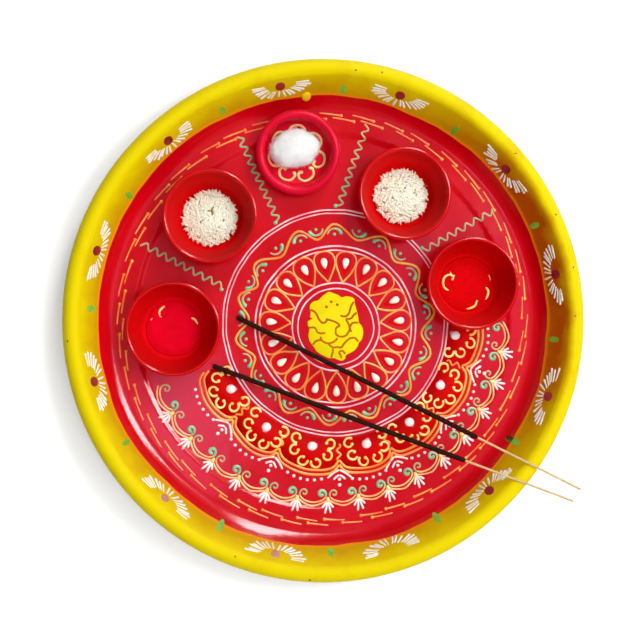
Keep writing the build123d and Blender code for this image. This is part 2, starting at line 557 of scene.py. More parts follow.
def tray_enamel():
    """Red inside and yellow over the lip, brushed by hand up to a wavy edge, with bare steel underneath. The
    yellow is painted ochre down the wall and rust-brown on one side, partly as painted shade.
    """
    finish = Finish("tray_enamel")
    x, y, _ = finish.axes()
    squares = finish.maths("ADD", finish.maths("MULTIPLY", x, x), finish.maths("MULTIPLY", y, y))
    radius = finish.maths("SQRT", squares)
    waves = finish.maths("MULTIPLY", finish.maths("SUBTRACT", finish.noise(28.0, 2.0), 0.5), EDGE_WAVES)
    edge = finish.maths("ADD", radius, waves)

    cloud = finish.noise(CLOUD_SCALE)
    red = finish.blend(cloud, CLOUD_SPAN, ENAMEL_DEEP_RED, ENAMEL_RED)
    patch = finish.maths("SUBTRACT", finish.noise(55.0), 0.5)
    # Painted shade: the wall turns darker towards the side away from the key light, partly as yellow sprayed
    # thin over the red
    towards = finish.vector_maths("DOT_PRODUCT", finish.coordinates["Object"], SHADED_SIDE)["Value"]
    thin = finish.ramp(towards, SHADED_SIDE_SPAN)
    start = finish.maths("MULTIPLY_ADD", thin, SHADED_SIDE_START_SHIFT, LEMON_START)
    end = finish.maths("MULTIPLY_ADD", thin, SHADED_SIDE_END_SHIFT, LEMON_END)
    depth = finish.maths("ADD", finish.ramp(radius, (start, end)), patch)
    # Painted shade: ochre low on the wall, rust-brown on the shaded side, lemon towards the lip
    under_coat_and_shade = finish.blend(finish.maths("ADD", thin, patch), (0.1, 0.9), OCHRE_AND_SHADE, SHADED_SIDE_BROWN)
    yellow = finish.blend(depth, (0.15, 0.95), under_coat_and_shade, LEMON)
    rim = finish.blend(edge, ORANGE_END, EDGE_ORANGE, yellow)
    paint = finish.blend(edge, RED_END, red, rim)

    under = finish.ramp(finish.axes("Normal")[2], UNDER_SPAN)
    lip = finish.maths("ADD", radius, finish.maths("MULTIPLY", waves, 1.5))
    bare = finish.maths("MULTIPLY", under, finish.ramp(lip, BARE_SPAN))
    brushed = finish.stretched(Scale=(400.0, 400.0, 30.0))
    steel = finish.mix(finish.noise(1.0, place=brushed), DEEP_STEEL, STEEL)

    gloss = finish.ramp(cloud, WIDE_SPAN, (0.11, 0.18))
    matt = finish.ramp(edge, MATT_START)
    dull_paint = finish.maths("MULTIPLY", matt, 0.46)
    dulled = finish.maths("MAXIMUM", dull_paint, finish.maths("MULTIPLY", bare, 0.2))
    shine = finish.blend(finish.maths("SUBTRACT", matt, bare), (0.0, 1.0), WHITE_SHINE, YELLOW_SHINE)
    finish.set(Base_Color=finish.mix(bare, paint, steel), Roughness=finish.maths("ADD", gloss, dulled))
    finish.set(Metallic=bare, Specular_Tint=shine, IOR=ENAMEL_IOR, Specular_IOR_Level=0.32)
    finish.bump(finish.noise(120.0, 2.0), 0.15, 0.5)
    return finish.material


def cone_paint(name, thin, thick, scale=160.0, roughness=0.32):
    """Cone paint that is paler where it lies thick."""
    finish = Finish(name)
    body = finish.noise(scale, 2.0)
    rough = finish.ramp(body, WIDE_SPAN, (roughness - 0.06, roughness + 0.08))
    finish.set(Base_Color=finish.blend(body, (0.38, 0.62), thin, thick), Roughness=rough, IOR=PAINT_IOR)
    finish.bump(finish.noise(900.0, 2.0), 0.08, 0.6)
    return finish.material


# Cone paints: the colour where each lies thin and thick, then the scale of its blotches and its roughness
CONE_PAINTS = {
    "white": ((0.92, 0.80, 0.78), (0.97, 0.96, 0.94)),
    "petal": ((0.88, 0.78, 0.58), (0.95, 0.93, 0.86), 120.0),
    "pink_white": ((0.92, 0.38, 0.46), (0.97, 0.82, 0.86), 70.0),
    "orange": ((0.95, 0.19, 0.03), (0.97, 0.40, 0.08), 80.0),
    "gold": ((0.96, 0.22, 0.02), (0.97, 0.46, 0.06), 45.0),
    "straw": ((0.95, 0.42, 0.13), (0.97, 0.70, 0.32), 90.0),
    "cream": ((0.96, 0.66, 0.12), (0.97, 0.86, 0.30), 90.0),
    "butter": ((0.97, 0.80, 0.26), (0.99, 0.93, 0.44), 90.0),
    "ivory": ((0.94, 0.86, 0.68), (0.98, 0.97, 0.88), 120.0),
    "green": ((0.60, 0.46, 0.22), (0.26, 0.56, 0.30), 70.0),
    "mint": ((0.16, 0.54, 0.27), (0.30, 0.74, 0.42)),
    "leaf": ((0.14, 0.44, 0.02), (0.24, 0.60, 0.05), 120.0, 0.5),
    "smear": ((0.84, 0.10, 0.16), (0.90, 0.36, 0.44), 120.0, 0.4),
    "mauve": ((0.52, 0.22, 0.12), (0.54, 0.22, 0.20), 120.0, 0.45),
    "maroon": ((0.22, 0.006, 0.006), (0.44, 0.03, 0.03), 120.0, 0.45),
    "lemon": ((0.92, 0.52, 0.01), (0.95, 0.70, 0.01), 120.0, 0.25),
}
paints = {name: cone_paint(f"paint_{name}", *look) for name, look in CONE_PAINTS.items()}
paints["red_wash"] = enamel("red_wash", (0.66, 0.001, 0.002), (0.60, 0.001, 0.001), 0.03, 0.6)
paints["brown"] = enamel("emblem_brown", (0.56, 0.15, 0.001), (0.44, 0.08, 0.001), 0.1, 0.65)


# Painted mandala on the floor, drawn by hand round three slightly different middles

HUB = (6.5, -3.5)
VINE_HUB = (6.4, -2.4)
OUTER_HUB = (6.7, -1.3)

# How far apart the points of long strokes lie
LONG_SPACING = 0.5

# Scallops along the lower half, from right to left, and the points where they meet
SCALLOP_ANGLES = (-4.2, -29.2, -52.2, -75.2, -101.2, -124.8, -149.4)
SCALLOP_JOINTS = (8.0, -17.4, -40.8, -65.8, -88.6, -115.2, -138.0, -161.0)

# Wash under the scallops, which reaches less far towards their joints
WASH_SPOKES = 180
WASH_FOOT = TRAY_SHEET + 0.01
WASH_TOP = TRAY_SHEET + 0.06
WASH_START = 66.0
WASH_REACH = 84.6
WASH_DIP = 4.8
WASH_POWER = 2.4


def wash_reach(angle):
    """How far the wash reaches from the mandala's middle: to the scallops' lines."""
    bearing = (angle + 180) % 360 - 180
    for middle, start, end in zip(SCALLOP_ANGLES, SCALLOP_JOINTS, SCALLOP_JOINTS[1:]):
        if end <= bearing <= start:
            half = start - middle if bearing > middle else middle - end
            return WASH_REACH - WASH_DIP * (abs(bearing - middle) / half) ** WASH_POWER


def mandala_ground():
    """A matt red wash under the scallops."""
    start, end = SCALLOP_JOINTS[-1], SCALLOP_JOINTS[0]
    rings = []
    for spoke in range(WASH_SPOKES + 1):
        angle = start + (end - start) * spoke / WASH_SPOKES
        reach = wash_reach(angle)
        corners = ((WASH_START, WASH_TOP), (reach, WASH_TOP), (reach, WASH_FOOT), (WASH_START, WASH_FOOT))
        rings.append([(*polar(radius, angle, HUB), level) for radius, level in corners])
    ground = Shell()
    ground.tube(rings)
    ground.piece("mandala_ground", "tray", "tray_paint", paints["red_wash"])


# Each ring's middle, radius and width
RING_SPACING = 0.9
RINGS = (
    (HUB, 22.4, 0.92),
    (HUB, 25.8, 1.1),
    (HUB, 44.9, 0.92),
    (HUB, 47.4, 1.1),
    (OUTER_HUB, 64.4, 0.85),
    (OUTER_HUB, 66.4, 1.0),
)


def mandala_rings():
    rings = ConePaint("mandala_rings", "pink_white", 0.35)
    for centre, radius, width in RINGS:
        rings.stroke(arc_path(radius, 0, 360, centre, 180)[:-1], width, closed=True, spacing=RING_SPACING)
    rings.lay()


# Loops round the emblem, each with a red ground and a dab in it: radii, lengths and widths
DROP_COUNT = 19
DROP_START_ANGLE = 81.0
DROP_RADIUS = 26.4
DROP_LENGTH = 18.4
DROP_HALF_WIDTH = 8.3
DROP_LINE = 1.2
DROP_GROUND_RADIUS = 36.4
DROP_GROUND_SIZE = (15.4, 11.8)
DROP_DAB_RADIUS = 37.8
DROP_DAB_SIZE = (6.8, 5.6)


def teardrop(length, half_width, steps=48):
    """A loop from its tip at the origin out along +X and back."""
    path = []
    for share in shares(steps):
        turn = 2 * math.pi * share
        x = length / 2 * (1 - math.cos(turn))
        path.append((x, half_width * math.sin(turn) * abs(math.sin(turn / 2)) ** 1.2))
    return path


def mandala_drops():
    drops = ConePaint("mandala_drops", "gold", 0.5)
    grounds = ConePaint("mandala_drop_grounds", "red_wash", 0.5)
    dabs = ConePaint("mandala_drop_dabs", "ivory", 0.5)
    for index in range(DROP_COUNT):
        angle = DROP_START_ANGLE - index * 360 / DROP_COUNT
        loop = placed(teardrop(DROP_LENGTH, DROP_HALF_WIDTH), polar(DROP_RADIUS, angle, HUB), angle)
        drops.stroke(loop, DROP_LINE, spacing=LONG_SPACING)
        ground, middle = (polar(radius, angle, HUB) for radius in (DROP_GROUND_RADIUS, DROP_DAB_RADIUS))
        grounds.dab(ground, *DROP_GROUND_SIZE, angle + 180, tip=0.7, height=0.1, corners=20)
        dabs.dab(middle, *DROP_DAB_SIZE, angle + 180, tip=0.6, height=0.9)
    lay_all(drops, grounds, dabs)


# Vine between the rings, with a curl in each bend
VINE_CRESTS = (
    90.7, 112.8, 143.6, 163.9, 189.0, 214.0, 240.0, 266.0, 292.0, 317.0, 342.0, 368.0, 394.0, 421.0,
)
VINE_CREST_RADIUS = 59.0
VINE_TROUGH_RADIUS = 51.2
VINE_LINE = 1.5
VINE_STEPS = 10
VINE_CURL_INSET = 6.6
VINE_CURL_RADIUS = 4.2
VINE_CURL_ANGLES = (-82, 80)
VINE_HEAD_POINTS = 11
VINE_DAB_SHIFT = 0.8
VINE_DAB_SIZE = (2.0, 1.9)


def vine():
    line = ConePaint("vine_line", "gold", 0.4)
    curls = ConePaint("vine_curls", "green")
    heads = ConePaint("vine_curl_heads", "mint")
    bends = []
    for crest, following in zip(VINE_CRESTS, VINE_CRESTS[1:] + (VINE_CRESTS[0] + 360,)):
        bends.append((crest, 1))
        bends.append(((crest + following) / 2, -1))
    path = []
    middle = (VINE_CREST_RADIUS + VINE_TROUGH_RADIUS) / 2
    swing = (VINE_CREST_RADIUS - VINE_TROUGH_RADIUS) / 2
    for (angle, outward), (following, _) in zip(bends, bends[1:] + [(bends[0][0] + 360, 1)]):
        for step in range(VINE_STEPS):
            share = step / VINE_STEPS
            radius = middle + outward * swing * math.cos(math.pi * share)
            path.append(polar(radius, angle + (following - angle) * share, VINE_HUB))
    line.stroke(path, VINE_LINE, closed=True, spacing=LONG_SPACING)
    for index, (angle, outward) in enumerate(bends):
        radius = VINE_CREST_RADIUS if outward > 0 else VINE_TROUGH_RADIUS
        focus = polar(radius - outward * VINE_CURL_INSET, angle, VINE_HUB)
        facing = angle if outward > 0 else angle + 180
        mirror = 1 if index % 4 < 2 else -1
        hook = placed(arc_path(VINE_CURL_RADIUS, *VINE_CURL_ANGLES), focus, facing, mirror)
        curls.stroke(hook, taper(1.5, 1.0))
        heads.stroke(hook[:VINE_HEAD_POINTS], taper(2.8, 1.4))
        heads.dab(polar(VINE_DAB_SHIFT, facing, focus), *VINE_DAB_SIZE)
    lay_all(line, curls, heads)


# Each scallop's two lines: their radius at the joints and in the middle
SCALLOP_RADII = ((78.4, 85.3), (81.2, 88.0))
SCALLOP_LINE = 1.5
SHOULDER_RISE_SHARE = 0.7
SHOULDER_SHIFT_SHARE = 0.28
SCALLOP_FLOWER_RADIUS = 71.4
SCALLOP_DAB_SIZE = (5.9, 5.5)
SMEAR_SIZE = (7.0, 4.8)
SMEAR_SHIFT = 1.4
SMEAR_LEAN = 150
SPUR_START = 69.0
SPUR_LENGTH = 9.4
SPUR_LINE = 1.35
SPUR_SWING = 0.9
SPUR_TURN = 11.52
SPUR_STEPS = 16

# The curls round each scallop's dab: how far each is turned from the scallop's angle, and its distance
CURL_LEANS = ((-108, 10.3), (-68, 10.2), (-24, 9.8), (24, 9.8), (68, 10.2), (108, 10.3))
CURL_RADIUS = 3.0
CURL_START_ANGLE = -125
CURL_SWEEP = 285
CURL_ROLL_SHARE = 0.4
CURL_DAB_SIZE = (2.1, 2.0)


def hook_path(size, steps=28):
    """A small open curl, round on its outer side with one end rolled in."""
    path = []
    for share in shares(steps):
        radius = size * (1 - CURL_ROLL_SHARE * max(0.0, share - 0.5) / 0.5)
        path.append(polar(radius, CURL_START_ANGLE + CURL_SWEEP * share))
    return path


def scallops():
    arcs = ConePaint("scallop_arcs", "gold", 0.3)
    curls = ConePaint("scallop_curls", "cream")
    dabs = ConePaint("scallop_dabs", "white")
    smears = ConePaint("scallop_smears", "smear")
    spans = zip(SCALLOP_ANGLES, SCALLOP_JOINTS, SCALLOP_JOINTS[1:])
    for number, (angle, start, end) in enumerate(spans):
        for joint_radius, tip_radius in SCALLOP_RADII:
            shoulder = joint_radius + SHOULDER_RISE_SHARE * (tip_radius - joint_radius)
            before, after = (joint + SHOULDER_SHIFT_SHARE * (angle - joint) for joint in (start, end))
            radii = (joint_radius, shoulder, tip_radius, shoulder, joint_radius)
            knots = zip(radii, (start, before, angle, after, end))
            line = smooth_path([polar(radius, bearing, HUB) for radius, bearing in knots])
            arcs.stroke(line, SCALLOP_LINE, spacing=LONG_SPACING)
        centre = polar(SCALLOP_FLOWER_RADIUS, angle, HUB)
        for step, (lean, reach) in enumerate(CURL_LEANS):
            facing = angle + lean
            mirror = 1 if (step + number) % 2 else -1
            curl = placed(hook_path(CURL_RADIUS), polar(reach, facing, centre), facing, mirror)
            curls.stroke(curl, taper(1.6, 1.3))
            curls.dab(curl[-1], *CURL_DAB_SIZE)
        dabs.dab(centre, *SCALLOP_DAB_SIZE, height=1.1)
        smear = polar(SMEAR_SHIFT, angle + SMEAR_LEAN - 60 * (number % 3), centre)
        smears.dab(smear, *SMEAR_SIZE, angle + SMEAR_LEAN, height=0.16)
    for joint in SCALLOP_JOINTS[1:-1]:
        spur = []
        for share in shares(SPUR_STEPS):
            lean = SPUR_SWING * math.sin(SPUR_TURN * share)
            spur.append(polar(SPUR_START + SPUR_LENGTH * share, joint + lean, HUB))
        arcs.stroke(spur, SPUR_LINE)
    lay_all(arcs, curls, dabs, smears)


# Two chevrons and two dots outside each joint: each chevron's apex radius, half width and depth
CHEVRONS = ((84.3, 7.2, 4.6), (87.2, 3.6, 2.7))
CHEVRON_LINE = 1.3
# The radius, length and width of each dot over a joint
JOINT_DOTS = ((89.8, 2.1, 2.0), (93.0, 2.3, 2.2))
# Dots over each scallop, which fall back a little towards the joints
DOTS_PER_SCALLOP = 6
DOT_STEP = 2.6
DOT_RADIUS = 91.4
DOT_FALL = 0.25
DOT_SIZE = (2.0, 1.9)


def chevrons():
    paint = ConePaint("chevrons_and_dots", "white")
    for joint in SCALLOP_JOINTS[1:-1]:
        for apex, reach, depth in CHEVRONS:
            for side in (-1, 1):
                arm = smooth_path(((0, 0), (depth * 0.32, side * reach * 0.45), (depth, side * reach)))
                paint.stroke(placed(arm, polar(apex, joint, HUB), joint), CHEVRON_LINE)
        for radius, length, width in JOINT_DOTS:
            paint.dab(polar(radius, joint, HUB), length, width)
    for start, end in zip(SCALLOP_JOINTS, SCALLOP_JOINTS[1:]):
        for index in range(DOTS_PER_SCALLOP):
            step = index - (DOTS_PER_SCALLOP - 1) / 2
            spot = polar(DOT_RADIUS - DOT_FALL * step**2, (start + end) / 2 + step * DOT_STEP, HUB)
            paint.dab(spot, *DOT_SIZE)
    paint.lay()


# Border of swags at the floor's edge; its points are drawn along +X from the middle of a swag
BORDER_CENTRE = (1.2, 0.0)
BORDER_RADIUS = 105.2
BORDER_START = -10.2
BORDER_STEP = -9.93
BORDER_JOINTS = 15
SWAG_OUTER = ((-0.4, -9.1), (2.3, -4.9), (3.7, 0.0), (2.3, 4.9), (-0.4, 9.1))
SWAG_INNER = ((-1.8, -7.7), (0.5, -5.0), (1.7, 0.0), (0.5, 5.0), (-1.8, 7.7))
SWAG_OUTER_LINE = 1.15
SWAG_INNER_LINE = 1.05
THIN_CURL_LINE = 1.05
SWAG_CURL = (
    (-1.6, 7.6), (-3.6, 7.7), (-5.3, 6.6), (-5.6, 4.9), (-4.4, 3.7), (-2.9, 4.2), (-2.9, 5.5), (-3.9, 5.7),
)
KNOT_SIZE = (3.6, 2.6)
# The strokes of a bud: how far each leans, where it starts and its length
BUD_STROKES = ((-38, 2.6, 4.6), (-14, 2.4, 7.0), (11, 2.4, 6.6), (35, 2.6, 4.2))
BUD_SHIFT = 1.2


def bud_width(share):
    return 0.75 + 0.65 * math.sin(0.8 * math.pi * share)


def swag_border():
    swags = ConePaint("border_swags", "straw", 0.25)
    thin_curls = ConePaint("border_thin_curls", "green")
    thick_curls = ConePaint("border_thick_curls", "mint")
    knots = ConePaint("border_knots", "cream")
    buds = ConePaint("border_buds", "white")
    for index in range(BORDER_JOINTS):
        joint = BORDER_START + index * BORDER_STEP
        spot = polar(BORDER_RADIUS, joint, BORDER_CENTRE)
        knots.dab(spot, *KNOT_SIZE, joint, tip=0.3, height=0.8)
        for lean, start, length in BUD_STROKES:
            root = polar(start - BUD_SHIFT, joint + lean * 0.7, spot)
            buds.stroke([root, polar(start + length - BUD_SHIFT, joint + lean, spot)], bud_width)
    for index in range(-1, BORDER_JOINTS):
        middle = BORDER_START + (index + 0.5) * BORDER_STEP
        spot = polar(BORDER_RADIUS, middle, BORDER_CENTRE)
        for swag, width in ((SWAG_OUTER, SWAG_OUTER_LINE), (SWAG_INNER, SWAG_INNER_LINE)):
            swags.stroke(placed(smooth_path(swag), spot, middle), width, spacing=LONG_SPACING)
        curl = smooth_path(SWAG_CURL)
        thick_curls.stroke(placed(curl, spot, middle), taper(1.2, 2.3))
        thin_curls.stroke(placed(curl, spot, middle, -1), THIN_CURL_LINE)
    lay_all(swags, thin_curls, thick_curls, knots, buds)


# Dashes on the ledge: each row's radius and the angle of its first dash
DASH_ROWS = ((117.8, 0.0), (120.3, 4.5))
DASH_CENTRE = (0.2, 0.9)
DASH_COUNT = 40
DASH_SPANS = (6.0, 7.2)
DASH_DRIFT = 1.2
DASH_STEPS = 6


def ledge_dashes():
    tails = ConePaint("ledge_dashes", "orange")
    heads = ConePaint("ledge_dash_heads", "gold")
    rng = random.Random(11)
    for radius, shift in DASH_ROWS:
        for index in range(DASH_COUNT):
            head = shift + index * 360 / DASH_COUNT + rng.uniform(-0.9, 0.9)
            span = rng.uniform(*DASH_SPANS)
            path = []
            for share in shares(DASH_STEPS):
                path.append(polar(radius + DASH_DRIFT * (share - 0.5), head + span * share, DASH_CENTRE))
            tails.stroke(path, taper(1.25, 0.85), spacing=LONG_SPACING)
            heads.stroke(path[:2], taper(2.6, 1.3))
    lay_all(tails, heads)


# Zigzags between the bowls, from their outer to their inner ends
ZIGZAG_ENDS = (
    ((-106.8, 44.6), (-59.7, 19.8)),
    ((-50.3, 107.6), (-27.4, 58.1)),
    ((25.0, 115.2), (8.0, 66.9)),
    ((100.4, 65.2), (58.6, 41.6)),
)
ZIGZAG_PITCH = 5.7
ZIGZAG_HALF_WIDTH = 1.7
ZIGZAG_LINE = 1.25
ZIGZAG_DAB_SIZE = (2.6, 2.4)


def zigzags():
    paint = ConePaint("zigzags", "green", 0.3)
    heads = ConePaint("zigzag_ends", "mint")
    for start, end in ZIGZAG_ENDS:
        start, end = Vector(start), Vector(end)
        way = end - start
        teeth = round(way.length / ZIGZAG_PITCH)
        across = Vector((-way.y, way.x)).normalized()
        points = []
        for step in range(2 * teeth + 1):
            lean = ZIGZAG_HALF_WIDTH if step % 2 else -ZIGZAG_HALF_WIDTH
            points.append(start + way * (step / (2 * teeth)) + across * lean)
        paint.stroke(smooth_path(points, density=10), ZIGZAG_LINE)
        heads.dab(points[-1], *ZIGZAG_DAB_SIZE)
    lay_all(paint, heads)


# Painted rim

DAISY_ANGLES = (
    -18.8, -46.2, -74.0, -102.6, -132.6, -165.4, -196.8, -228.4, -258.6, -288.0, -319.8, -348.6,
)
PALE_HEARTS = (-102.6, -132.6)
BARE_HEART = -74.0
DAISY_RADIUS = 137.4
DAISY_PETALS = 16
DAISY_HALF_SPREAD = 98
DAISY_HALF_LENGTH = 17.4
DAISY_DEPTH = 5.7
PETAL_SPACING = 0.45
HEART_SHIFT = 0.6
HEART_SIZE = (6.4, 4.2)
PALE_HEART_SIZE = (6.0, 4.0)

# Each leaf's angle, the radius of its middle and its length along the radius
LEAVES = (
    (-4.8, 134.4, 5.2), (-32.6, 131.4, 8.6), (-60.6, 132.4, 7.4), (-89.0, 134.0, 6.4),
    (-117.4, 133.0, 8.2), (-148.8, 134.2, 5.6), (-183.0, 134.6, 5.2), (-212.2, 134.0, 5.4),
    (-243.5, 134.6, 5.0), (-274.2, 134.2, 5.2), (-304.0, 133.9, 5.6), (-335.4, 134.5, 5.2),
)
LEAF_WIDTHS = (4.2, 5.2)

# Specks of paint on the lip, and one drip over the edge of the yellow
SPECK_COUNT = 9
SPECK_RADII = (142.5, 148)
SPECK_SIZE = (1.7, 1.1)
DRIP_RADIUS = 130.6
DRIP_ANGLE = 95.0
DRIP_SIZE = (4.6, 6.0)


def daisy_petal(angle, lean, reach, inner):
    """A petal's line on the wall, from its inner end outwards and down the wall."""
    path = []
    for step in shares(3):
        share = inner + (1 - inner) * step
        along = DAISY_HALF_LENGTH * reach * share * math.sin(lean)
        inwards = DAISY_DEPTH * reach * share * math.cos(lean)
        path.append(polar(DAISY_RADIUS - inwards, angle + math.degrees(along / DAISY_RADIUS)))
    return path


def daisies():
    petals = ConePaint("rim_daisies", "petal")
    hearts = ConePaint("rim_daisy_hearts", "maroon")
    pale_hearts = ConePaint("rim_daisy_pale_hearts", "mauve")
    rng = random.Random(5)
    for angle in DAISY_ANGLES:
        for index in range(DAISY_PETALS):
            share = index / (DAISY_PETALS - 1)
            lean = math.radians(DAISY_HALF_SPREAD * (2 * share - 1) + rng.uniform(-3, 3))
            reach = rng.uniform(0.92, 1.06)
            inner = 0.42 + 0.1 * abs(2 * share - 1)
            petals.stroke(daisy_petal(angle, lean, reach, inner), taper(1.0, 1.75), spacing=PETAL_SPACING)
        heart = polar(DAISY_RADIUS - HEART_SHIFT, angle)
        if angle in PALE_HEARTS:
            pale_hearts.dab(heart, *PALE_HEART_SIZE, angle + 90, height=0.2)
        elif angle != BARE_HEART:
            hearts.dab(heart, *HEART_SIZE, angle + 90, height=0.3)
    lay_all(petals, hearts, pale_hearts)


def leaves():
    paint = ConePaint("rim_leaves", "leaf")
    rng = random.Random(8)
    for angle, radius, length in LEAVES:
        paint.dab(polar(radius, angle), length, rng.uniform(*LEAF_WIDTHS), angle, height=0.16)
    paint.lay()


def rim_specks():
    specks = ConePaint("rim_specks", "maroon")
    rng = random.Random(21)
    for _ in range(SPECK_COUNT):
        spot = polar(rng.uniform(*SPECK_RADII), rng.uniform(0, 360))
        specks.dab(spot, *SPECK_SIZE, rng.uniform(0, 180), height=0.12)
    drip = ConePaint("rim_drip", "lemon")
    drip.dab(polar(DRIP_RADIUS, DRIP_ANGLE), *DRIP_SIZE, DRIP_ANGLE + 180, tip=0.1, height=0.6)
    lay_all(specks, drip)


# Flowers painted in the kumkum bowls and the lamp cup

FLOWER_PETALS = 7
FLOWER_PETAL_WIDTH = 9.6
FLOWER_PETAL_DEPTH = 5.4

# A petal's open loop, which bulges out along +X: shares of its depth and of its half width
PETAL_SHARES = (
    (0.05, -0.25), (-0.12, -0.72), (0.35, -1.0), (0.9, -0.6),
    (1.0, 0.1), (0.75, 0.75), (0.1, 0.98), (-0.15, 0.55),
)


def flower_width(share):
    return 1.5 + (2 * share - 1) ** 4


def bowl_flower(name, colour, skin, body, slot, seat, start_angle, petal_foot):
    paint = ConePaint(name, colour, skin=skin)
    half = FLOWER_PETAL_WIDTH / 2
    petal = smooth_path([(FLOWER_PETAL_DEPTH * out, half * across) for out, across in PETAL_SHARES])
    for index in range(FLOWER_PETALS):
        angle = start_angle + index * 360 / FLOWER_PETALS
        paint.stroke(placed(petal, polar(petal_foot, angle), angle), flower_width, spacing=PETAL_SPACING)
    paint.lay(body, slot, seat)


# Centre emblem: a yellow film with brown lines, a seated elephant-headed figure

EMBLEM_CENTRE = (6.2, -3.5)
EMBLEM_SHEET = 0.4
EMBLEM_BEVEL = 0.15
EMBLEM_SPACING = 0.45
EMBLEM_LINE = 1.4
EMBLEM_LINE_HEIGHT_SHARE = 0.12
EMBLEM_MARK_SIZE = (1.9, 1.9)

# The figure's outline, clockwise from the crown
EMBLEM_OUTLINE = (
    # crown and right ear
    (-3.7, 20.4), (-0.7, 19.5), (2.0, 18.4), (3.8, 17.2), (6.5, 17.8), (9.5, 17.4), (11.2, 16.3),
    # raised right arm and right arm
    (11.4, 14.2), (12.2, 11.2), (13.1, 7.9), (13.7, 4.9), (14.0, 2.4), (15.4, 0.7), (16.4, -1.9),
    (16.4, -4.9), (15.5, -7.7),
    # right leg and foot
    (14.0, -9.4), (13.3, -11.4), (11.4, -13.9), (8.8, -15.5), (6.3, -16.9), (5.9, -18.7), (4.0, -20.0),
    (1.6, -19.5),
    # left leg
    (-0.7, -18.5), (-3.7, -18.4), (-7.1, -16.9), (-10.9, -14.6), (-12.3, -12.4), (-13.5, -10.9),
    # lower left arm and raised left hand, with the notch of its thumb
    (-15.2, -8.2), (-15.8, -4.9), (-15.3, -1.5), (-16.1, 0.7), (-16.2, 3.0), (-14.8, 3.9), (-13.5, 4.5),
    # left ear
    (-14.8, 5.6), (-14.6, 8.2), (-15.1, 10.5), (-14.8, 12.7), (-13.1, 14.6), (-10.1, 15.5), (-8.2, 17.4),
    (-6.0, 19.1),
)
EMBLEM_LINES = (
    # left ear down to the shoulder
    ((-15.2, 9.7), (-13.3, 9.4), (-11.4, 7.9), (-10.3, 5.8), (-9.2, 3.7), (-7.5, 2.2), (-5.8, 2.6),
     (-4.6, 4.1)),
    # trunk, down and round its curled end and up to the cheek
    ((-5.8, 4.5), (-3.3, 3.9), (-1.1, 3.2), (1.0, 2.2), (2.5, 0.6), (0.6, -0.7), (0.3, -2.6), (0.5, -4.5),
     (2.3, -5.7), (4.4, -5.9), (6.3, -5.2), (7.6, -3.6), (8.4, -1.5), (8.2, 0.7), (7.2, 2.8), (6.1, 4.5)),
    # right ear
    ((2.9, 6.7), (4.6, 6.0), (6.5, 6.2), (8.0, 7.7), (8.8, 10.1), (9.7, 12.7), (11.0, 14.8)),
    # raised right arm
    ((6.1, 4.9), (8.0, 4.5), (9.7, 5.1), (11.2, 7.1), (12.9, 8.4)),
    # right arm
    ((9.7, -3.4), (8.9, -1.5), (9.1, 0.7), (10.5, 2.2), (12.2, 2.4), (13.8, 2.1)),
    # lap, right forearm and knee
    ((-4.3, -9.9), (-2.6, -11.4), (-1.1, -12.2), (1.2, -12.0), (3.5, -12.2), (5.0, -10.3), (6.9, -8.2),
     (8.8, -6.9), (10.5, -6.6), (12.2, -7.1), (13.7, -9.0)),
    # belly
    ((1.2, -6.2), (0.8, -7.5), (-0.7, -8.8), (-2.6, -9.6), (-4.5, -9.7), (-6.3, -9.2), (-8.0, -7.9),
     (-8.8, -5.6)),
    # raised left hand
    ((-15.6, -0.7), (-13.1, -0.4), (-11.6, -1.1), (-10.7, -3.0), (-9.0, -3.9), (-5.6, -3.7)),
    # left knee
    ((-13.3, -10.9), (-12.0, -9.0), (-9.7, -7.9), (-7.8, -8.2), (-6.0, -9.4)),
    # between the feet
    ((-1.6, -12.5), (-1.4, -14.6), (-2.0, -16.5), (-2.4, -18.4)),
    # right foot
    ((3.8, -18.7), (3.1, -16.9), (2.3, -15.2), (3.5, -14.2), (5.0, -14.8), (5.9, -16.3)),
)
EMBLEM_MARKS = ((-2.4, 14.6), (-5.2, 11.6), (1.2, 12.9))


class EmblemTop:
    """The flat top of the emblem, as a skin to draw on."""

    def at(self, radius):
        return TRAY_SHEET + EMBLEM_SHEET, 0.0


def emblem_film():
    """A flat-bottomed film with rounded edges over the figure's outline."""
    points, _ = even_path(smooth_path(EMBLEM_OUTLINE, closed=True), EMBLEM_SPACING, closed=True)
    count = len(points)
    area = sum(a.x * b.y - b.x * a.y for a, b in zip(points, points[1:] + points[:1]))
    inward = 1 if area > 0 else -1
    top = TRAY_SHEET + EMBLEM_SHEET
    bevel = EMBLEM_BEVEL
    profile = ((0.0, TRAY_SHEET), (0.0, top - bevel), (bevel * 0.35, top - bevel * 0.3), (bevel, top))
    rings = []
    for inset, level in profile:
        ring = []
        for index, point in enumerate(points):
            along = (points[(index + 1) % count] - points[index - 1]).normalized()
            spot = point + inward * inset * Vector((-along.y, along.x))
            ring.append((EMBLEM_CENTRE[0] + spot.x, EMBLEM_CENTRE[1] + spot.y, level))
        rings.append(ring)
    film = Shell()
    film.tube(rings)
    yellow = enamel("emblem_yellow", (0.93, 0.76, 0.001), (0.90, 0.71, 0.001), 0.06, 0.65)
    film.piece("emblem_film", "tray", "emblem_film", yellow, replaced="centre_emblem")


def emblem_lines():
    lines = ConePaint("emblem_lines", "brown", skin=EmblemTop(), height_share=EMBLEM_LINE_HEIGHT_SHARE)
    for path in EMBLEM_LINES:
        lines.stroke(placed(smooth_path(path), EMBLEM_CENTRE), EMBLEM_LINE)
    for spot in placed(EMBLEM_MARKS, EMBLEM_CENTRE):
        lines.dab(spot, *EMBLEM_MARK_SIZE, height=0.14)
    lines.lay(slot="emblem_film")


# What the bowls and the cup hold

HEAP_FOOT = 0.8
HEAP_RADIUS = 16.4
HEAP_EDGE_GAP = 0.1
HEAP_FOOT_GAP = 0.02
HEAP_FOOT_SHARE = 0.93


